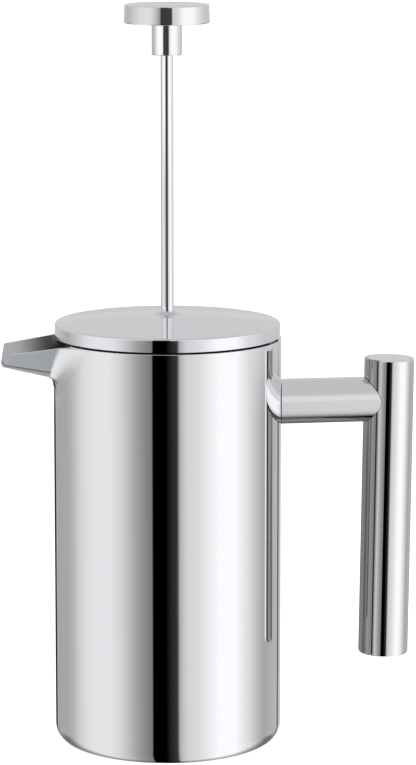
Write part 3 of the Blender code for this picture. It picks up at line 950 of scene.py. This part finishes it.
def knob_top():
    """The flat disc, with a slanted edge and a top that rises a little to its middle."""
    low = low_of("knob_disc")
    high = high_of("knob_disc")
    knob_r = radius_of("knob_disc")
    edge = knob_r - KNOB_EDGE
    corners = [(0.0, low, 0), (knob_r, low, 0.5 * MM)]
    corners += [(edge, high - KNOB_RISE, 0.45 * MM), (0.0, high + KNOB_RISE, 0)]
    outline = softened(corners, 10)[:-1]
    start = outline[-1][0]
    for step in range(1, KNOB_STEPS + 1):
        r = start * (1 - step / KNOB_STEPS)
        outline.append((r, high - KNOB_RISE * (r / edge) ** 2))
    turned("knob_top", outline, TURNED_MIRROR, "plunger", ["knob_disc"])


def knob_stem():
    low = low_of("knob_collar")
    high = high_of("knob_collar")
    collar_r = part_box("knob_collar")[1].x
    bore = ROD_R + COLLAR_PLAY
    top = high + COLLAR_INTO_DISC
    socket = high - COLLAR_SOCKET
    corners = [(0.0, top, 0), (0.0, socket, 0), (bore, socket, 0), (bore, low, 0)]
    corners += [(collar_r, low, 0.5 * MM), (collar_r, top, 0)]
    outline = softened(corners)
    turned("knob_stem", outline, TURNED_MIRROR, "plunger", ["knob_collar"], sides=SMALL_SIDES)


def push_rod():
    low = low_of("plunger_rod")
    high = high_of("plunger_rod")
    corners = [(0.0, high, 0), (0.0, low, 0), (ROD_R, low, 0.5 * MM), (ROD_R, high, 0)]
    outline = softened(corners)
    turned("push_rod", outline, MIRROR, "plunger", ["plunger_rod"], sides=SMALL_SIDES)


def plunger_pieces():
    knob_top()
    knob_stem()
    push_rod()


# ------------------------------------------------------------------ the filter

PLATE_SHEET = 1.0 * MM
PLATE_SIDES = 192
HOLE_SIDES = 32
HOLE_DEPTH = 14 * MM
SCREEN_ROUND = 0.2 * MM
# The top plate's raised hub, the foot of its slope, its rim, and its holes.
TOP_HUB_R = 8 * MM
TOP_HUB_RISE = 3 * MM
TOP_HUB_SHEET = 0.4 * MM
TOP_SLOPE_R = 11 * MM
TOP_RIM = 3 * MM
TOP_RIM_RISE = 0.6 * MM
TOP_HOLES = (26 * MM, 3.2 * MM, 12)
# The cross plate's hub and holes.
CROSS_HUB_R = 8 * MM
CROSS_HOLES = (25 * MM, 5.9 * MM, 10)
# The spring is a coil of thin wire that runs round the filter's edge.
WIRE_R = 0.3 * MM
WIRE_CORNERS = 6
COIL_TURNS = 150
COIL_STEPS = 12
COIL_SHARP = 80


def pierced(name, outline, holes, node):
    """A turned plate with a ring of holes: (ring radius, hole radius, count)."""
    plate = turned(name, outline, SATIN, "plunger", [node], sides=PLATE_SIDES)
    work = bmesh.new()
    low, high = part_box(node)
    middle = (low.z + high.z) / 2
    ring_r, hole_r, count = holes
    for index in range(count):
        angle = math.tau * (index + 0.5) / count
        centre = (ring_r * math.cos(angle), ring_r * math.sin(angle), middle)
        bmesh.ops.create_cone(
            work,
            cap_ends=True,
            segments=HOLE_SIDES,
            radius1=hole_r,
            radius2=hole_r,
            depth=HOLE_DEPTH,
            matrix=Matrix.Translation(centre),
        )
    cutter = helper_object(name + "_holes", work)
    notched(plate, cutter)
    bpy.data.objects.remove(cutter)


def top_plate(hole):
    """The dished plate: a raised hub, a flat ring and a rim that turns up."""
    low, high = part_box("filter_top_plate")
    edge = high.x
    rim = edge - TOP_RIM
    under = low.z
    top = under + PLATE_SHEET
    lift = top + TOP_HUB_RISE
    inner = under + TOP_HUB_RISE - TOP_HUB_SHEET
    turn = TOP_HUB_R - 0.5 * MM
    corners = [(hole, lift, 0.4 * MM), (TOP_HUB_R, lift, 1.0 * MM), (TOP_SLOPE_R, top, 1.5 * MM)]
    corners += [(rim, top, 1.5 * MM), (edge, top + TOP_RIM_RISE + PLATE_SHEET, 0.3 * MM)]
    corners += [(edge, top + TOP_RIM_RISE, 0.3 * MM), (rim, under, 1.5 * MM)]
    corners += [(TOP_SLOPE_R, under, 1.0 * MM), (turn, inner, 0.5 * MM), (hole, inner, 0)]
    pierced("filter_top", softened(corners), TOP_HOLES, "filter_top_plate")


def cross_plate(hole):
    low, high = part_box("filter_cross_plate")
    edge = high.x
    top = high.z
    under = top - PLATE_SHEET
    corners = [(hole, top, 0), (hole, low.z, 0.3 * MM), (CROSS_HUB_R, low.z, 0.5 * MM)]
    corners += [(CROSS_HUB_R, under, 0.6 * MM), (edge, under, 0.3 * MM), (edge, top, 0.3 * MM)]
    pierced("filter_cross", softened(corners), CROSS_HOLES, "filter_cross_plate")


def screen(name, node, surface, hole):
    low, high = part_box(node)
    corners = [(hole, high.z, 0), (hole, low.z, 0)]
    corners += [(high.x, low.z, SCREEN_ROUND), (high.x, high.z, SCREEN_ROUND)]
    turned(name, softened(corners), surface, "plunger", [node])


def coil_section(step, centre_r, coil_r, middle):
    """The wire's cross-section at one step of the coil that runs round the filter's edge."""
    turn = math.tau * step / COIL_STEPS
    bearing = math.tau * step / (COIL_TURNS * COIL_STEPS)
    radial = Vector((math.cos(bearing), math.sin(bearing), 0.0))
    side = Vector((-math.sin(bearing), math.cos(bearing), 0.0))
    out = radial * math.cos(turn) + Vector((0.0, 0.0, math.sin(turn)))
    centre = radial * centre_r + out * coil_r + Vector((0.0, 0.0, middle))
    ring = []
    for corner in range(WIRE_CORNERS):
        angle = math.tau * corner / WIRE_CORNERS
        ring.append(centre + (out * math.cos(angle) + side * math.sin(angle)) * WIRE_R)
    return ring


def rim_coil():
    low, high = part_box("filter_spring")
    coil_r = (high.z - low.z) / 2 - WIRE_R
    centre_r = radius_of("filter_spring") - coil_r - WIRE_R
    middle = (low.z + high.z) / 2
    steps = range(COIL_TURNS * COIL_STEPS)
    rings = [coil_section(step, centre_r, coil_r, middle) for step in steps]
    work = bmesh.new()
    add_loft(work, rings, row_closed=True)
    finished("rim_coil", work, SPRING_STEEL, "plunger", ["filter_spring"], COIL_SHARP)


def filter_pieces():
    hole = ROD_R + ROD_PLAY
    top_plate(hole)
    cross_plate(hole)
    screen("screen_coarse_mesh", "filter_coarse_mesh", COARSE_CLOTH, hole)
    screen("screen_fine_mesh", "filter_fine_mesh", FINE_CLOTH, hole)
    rim_coil()
    dressed("filter_hub_nut", SATIN)


# ------------------------------------------------------------------ studio

CAMERA_AZIMUTH = math.radians(-8.7)
CAMERA_DISTANCE = 1.6553
CAMERA_SIDE = 0.0187
CAMERA_HEIGHT = 0.45064
CAMERA_PITCH = math.radians(9.66)
LENS = 171.1
SENSOR = 36.0
BACK = Vector((math.sin(CAMERA_AZIMUTH), -math.cos(CAMERA_AZIMUTH), 0.0))
RIGHT = Vector((math.cos(CAMERA_AZIMUTH), math.sin(CAMERA_AZIMUTH), 0.0))

# The studio's walls round the object, as (degrees, brightness 0-255), where the degrees run
# anticlockwise from above and 0 is the way to the camera. From the lowest band up they are
# LOW_WALLS, MIDDLE_WALLS, HIGH_WALLS and GLOW_WALLS, with the sky over them. RIGHT_EDGE takes
# the place of LOW_WALLS behind the object on the right.
LOW_WALLS = [
    (-180, 8), (-160, 8), (-158, 130), (-153.5, 183), (-150, 156), (-146, 164), (-124, 166),
    (-113, 178), (-104, 200), (-98, 212), (-90, 221), (-77, 228), (-60, 228), (-48, 211),
    (-41, 193), (-31, 160), (-20, 131), (-15.2, 120), (-14.4, 0), (-1, 0), (11, 55), (11.8, 163),
    (15, 188), (20, 209), (31, 217), (45, 238), (54, 251), (73, 251), (90, 221), (106, 184),
    (116, 165), (149, 182),
]
RIGHT_EDGE = [
    (140, 182), (149.5, 182), (151.5, 75), (154, 75), (156, 150), (160, 192), (180, 200),
]
MIDDLE_WALLS = [
    (-180, 198), (-150, 192), (-140, 186), (-123, 169), (-112, 186), (-100, 202), (-88, 222),
    (-75, 244), (-60, 253), (-40, 253), (-33, 240), (-28, 200), (-26, 60), (13, 57), (14.5, 140),
    (17, 205), (25, 228), (32, 250), (60, 252), (75, 244), (90, 228), (105, 212), (120, 200),
    (150, 196), (180, 198),
]
HIGH_WALLS = [
    (-180, 198), (-160, 185), (-149, 175), (-115, 187), (-93, 207), (-75, 219), (-59, 222),
    (-44, 221), (-35, 205), (-26.5, 180), (-21, 163), (-16.3, 120), (-15.2, 57), (14, 62),
    (15.2, 185), (17, 204), (22, 210), (28, 213), (34, 224), (42, 243), (51, 250), (73, 250),
    (84, 238), (95.5, 226), (108, 212), (124, 196), (145, 190), (160, 196), (180, 198),
]
GLOW_WALLS = [(-180, 218), (-15, 218), (-13.5, 50), (3, 50), (4.5, 218), (180, 218)]
# Brightness of the sky, as (sine of the angle above level, brightness 0-255).
SKY = [(-0.1, 203), (0.15, 200), (0.4, 200), (0.55, 198), (0.7, 191), (1.0, 190)]

# Where each band starts to show and where it is full, or how much higher than its start that
# is. Heights and depths are sines of the angle above and below level.
MIDDLE_SOFT = 0.03
HIGH_FROM = (-0.05, -0.02)
GLOW_FROM = (0.05, 0.11)
SKY_SOFT = 0.26
RIGHT_EDGE_FROM = (math.radians(142), math.radians(148))
# These two start at one height behind the object and at another in front of it. The change is
# at FRONT_FROM, as cosines of the angle from the way to the camera.
MIDDLE_START = (-0.18, -0.12)
SKY_START = (-0.06, 0.38)
FRONT_FROM = (-0.2, 0.3)
# At this depth the walls bend round the point below the object. There the side away from the
# camera is dimmed, until these cosines.
BEND_FROM = (0.3, 0.45)
FAR_SIDE_UNTIL = (-0.7, -0.3)
FAR_SIDE_DIM = 0.6
ROOM_STRENGTH = 1.07
ROOM_TINT = (0.985, 0.995, 1.01)

WHITE = (1.0, 1.0, 1.0, 1.0)
BLACK = (0.0, 0.0, 0.0, 1.0)
FLOOR_TONE = (0.9, 0.9, 0.9, 1.0)
FLOOR_ROUGHNESS = 0.9
FLOOR_GLOW = 0.75
FLOOR_HALF = 6.0
FLOOR_DROP = 0.0002


def linear(level):
    """The linear light of a screen brightness from 0 to 255."""
    share = level / 255
    if share <= 0.04045:
        return share / 12.92
    return ((share + 0.055) / 1.055) ** 2.4


def bright_ramp(nodes, position, stops, low, high):
    """A ramp of the room's light through stops whose places run from low to high."""
    tinted = []
    for place, level in stops:
        value = linear(level)
        tinted.append(((place - low) / (high - low), [value * tint for tint in ROOM_TINT]))
    return nodes.ramp(position, tinted)


def room_light(nodes):
    """The light that comes from each direction."""
    way = nodes.add("ShaderNodeTexCoord").outputs["Generated"]
    towards = nodes.dot(way, BACK)
    aside = nodes.dot(way, RIGHT)
    rise = nodes.dot(way, (0.0, 0.0, 1.0))

    def eased(value, low, high):
        return nodes.share(value, low, high, "SMOOTHSTEP")

    def walls_of(stops):
        return bright_ramp(nodes, position, stops, -180, 180)

    deep = eased(nodes.math("MULTIPLY", rise, -1.0), *BEND_FROM)
    azimuth = nodes.math("ARCTAN2", aside, towards)
    bent = nodes.math("ARCTAN2", aside, nodes.math("ADD", towards, 1.0))
    turn = nodes.math("SUBTRACT", nodes.math("MULTIPLY", bent, 2.0), azimuth)
    azimuth = nodes.math("ADD", azimuth, nodes.math("MULTIPLY", turn, deep))
    position = nodes.share(azimuth, -math.pi, math.pi)

    walls = nodes.mix(eased(azimuth, *RIGHT_EDGE_FROM), walls_of(LOW_WALLS), walls_of(RIGHT_EDGE))
    front = eased(towards, *FRONT_FROM)
    start = nodes.spread(front, *MIDDLE_START)
    shown = eased(rise, start, nodes.math("ADD", start, MIDDLE_SOFT))
    walls = nodes.mix(shown, walls, walls_of(MIDDLE_WALLS))
    walls = nodes.mix(eased(rise, *HIGH_FROM), walls, walls_of(HIGH_WALLS))
    walls = nodes.mix(eased(rise, *GLOW_FROM), walls, walls_of(GLOW_WALLS))
    start = nodes.spread(front, *SKY_START)
    shown = eased(rise, start, nodes.math("ADD", start, SKY_SOFT))
    sky = bright_ramp(nodes, nodes.share(rise, -1.0, 1.0), SKY, -1, 1)
    light = nodes.mix(shown, walls, sky)

    far = nodes.math("SUBTRACT", 1.0, eased(towards, *FAR_SIDE_UNTIL))
    dim = nodes.math("MULTIPLY", nodes.math("MULTIPLY", deep, far), FAR_SIDE_DIM)
    return nodes.mix(dim, light, BLACK)


def studio_world():
    """The room lights the object and shows in it, and the camera sees plain white instead."""
    world = bpy.data.worlds.new("studio")
    bpy.context.scene.world = world
    world.use_nodes = True
    world.node_tree.nodes.clear()
    nodes = Nodes(world.node_tree)
    room = nodes.add("ShaderNodeBackground")
    nodes.put(room_light(nodes), room.inputs["Color"])
    nodes.put(ROOM_STRENGTH, room.inputs["Strength"])
    plain = nodes.add("ShaderNodeBackground")
    nodes.put(WHITE, plain.inputs["Color"])
    path = nodes.add("ShaderNodeLightPath")
    seen = nodes.add("ShaderNodeMixShader")
    nodes.put(path.outputs["Is Camera Ray"], seen.inputs["Fac"])
    nodes.put(room.outputs[0], seen.inputs[1])
    nodes.put(plain.outputs[0], seen.inputs[2])
    out = nodes.add("ShaderNodeOutputWorld")
    nodes.put(seen.outputs[0], out.inputs["Surface"])


def studio_floor():
    made = bpy.data.materials.new("pale_floor")
    made.use_nodes = True
    inputs = made.node_tree.nodes["Principled BSDF"].inputs
    inputs["Base Color"].default_value = FLOOR_TONE
    inputs["Roughness"].default_value = FLOOR_ROUGHNESS
    inputs["Specular IOR Level"].default_value = 0.0
    inputs["Emission Color"].default_value = WHITE
    inputs["Emission Strength"].default_value = FLOOR_GLOW
    work = bmesh.new()
    bmesh.ops.create_grid(work, x_segments=1, y_segments=1, size=FLOOR_HALF)
    mesh = bpy.data.meshes.new("floor")
    work.to_mesh(mesh)
    work.free()
    mesh.materials.append(made)
    floor = bpy.data.objects.new("floor", mesh)
    floor.location = (0.0, 0.0, -FLOOR_DROP)
    bpy.context.scene.collection.objects.link(floor)
    floor.visible_glossy = False


def studio_camera():
    data = bpy.data.cameras.new("camera")
    data.lens = LENS
    data.sensor_width = SENSOR
    camera = bpy.data.objects.new("camera", data)
    bpy.context.scene.collection.objects.link(camera)
    camera.location = BACK * CAMERA_DISTANCE + RIGHT * CAMERA_SIDE + Vector((0.0, 0.0, CAMERA_HEIGHT))
    camera.rotation_euler = (math.pi / 2 - CAMERA_PITCH, 0.0, CAMERA_AZIMUTH)
    bpy.context.scene.camera = camera


pot_pieces()
spout_piece()
spout_fillet()
handle_pieces()
lid_pieces()
plunger_pieces()
filter_pieces()
studio_world()
studio_floor()
studio_camera()
bpy.context.scene.view_settings.view_transform = "Standard"
